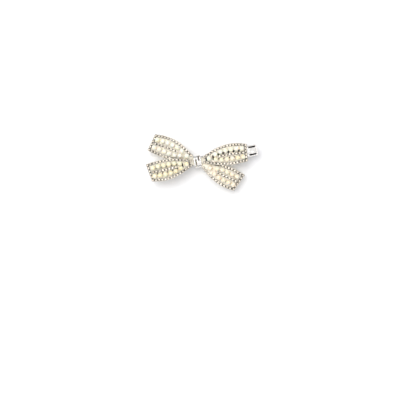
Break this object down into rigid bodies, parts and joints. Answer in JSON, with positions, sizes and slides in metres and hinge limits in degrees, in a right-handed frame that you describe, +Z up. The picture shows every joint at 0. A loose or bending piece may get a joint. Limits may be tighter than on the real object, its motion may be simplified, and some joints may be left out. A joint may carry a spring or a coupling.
{
  "type": "bow hair clip",
  "caption": "Sprung pinch hair clip carrying a bow of two crossed ribbons, edged with rhinestones, filled with pearls and gathered by a polished knot.",
  "frame": {"origin": "point on the flat underside of the lower jaw directly below the middle of the knot", "axes": "+X along the clip from the jaw's tip towards the thumb tabs, +Y across the clip, +Z up through the bow"},
  "size_m": [0.0643, 0.0405, 0.0138],
  "materials": {
    "clip_steel": "polished silver-tone plating",
    "pin_steel": "satin steel",
    "spring_steel": "drawn spring wire",
    "solder": "dull tinned metal",
    "bright_metal": "mirror polished silver-tone metal",
    "ribbon_metal": "silver-tone plated strip",
    "cup_metal": "silver-tone plated cups, darkened in the recesses",
    "rhinestone": "clear cut glass with a foiled back",
    "dish_metal": "silver-tone plated dish",
    "pearl": "ivory pearl lustre"
  },
  "bodies": {
    "lower_lever": {"lower_jaw": "clip_steel", "hinge_pin": "pin_steel", "torsion_spring": "spring_steel"},
    "upper_lever": {"upper_jaw": "clip_steel", "mounting_pad": "solder", "knot_band": "bright_metal", "ribbon_over": "ribbon_metal", "ribbon_under": "ribbon_metal", "over_right_border_cups": "cup_metal", "over_right_border_stones": "rhinestone", "over_right_middle_cups": "cup_metal", "over_right_middle_stones": "rhinestone", "over_right_pearl_dishes": "dish_metal", "over_right_outer_pearls": "pearl", "over_right_inner_pearls": "pearl", "over_left_border_cups": "cup_metal", "over_left_border_stones": "rhinestone", "over_left_middle_cups": "cup_metal", "over_left_middle_stones": "rhinestone", "over_left_pearl_dishes": "dish_metal", "over_left_outer_pearls": "pearl", "over_left_inner_pearls": "pearl", "under_left_border_cups": "cup_metal", "under_left_border_stones": "rhinestone", "under_left_middle_cups": "cup_metal", "under_left_middle_stones": "rhinestone", "under_left_pearl_dishes": "dish_metal", "under_left_outer_pearls": "pearl", "under_left_inner_pearls": "pearl", "under_right_border_cups": "cup_metal", "under_right_border_stones": "rhinestone", "under_right_middle_cups": "cup_metal", "under_right_middle_stones": "rhinestone", "under_right_pearl_dishes": "dish_metal", "under_right_outer_pearls": "pearl", "under_right_inner_pearls": "pearl"}
  },
  "joints": [
    {"name": "jaw_hinge", "type": "hinge", "parent": "lower_lever", "child": "upper_lever", "pos_m": [0.017, 0, 0.0023], "axis": [0, 1, 0], "range_deg": [0, 20], "stiffness_Nm_per_rad": 0.12, "springref_deg": -34.38, "deforming": ["torsion_spring"]}
  ]
}
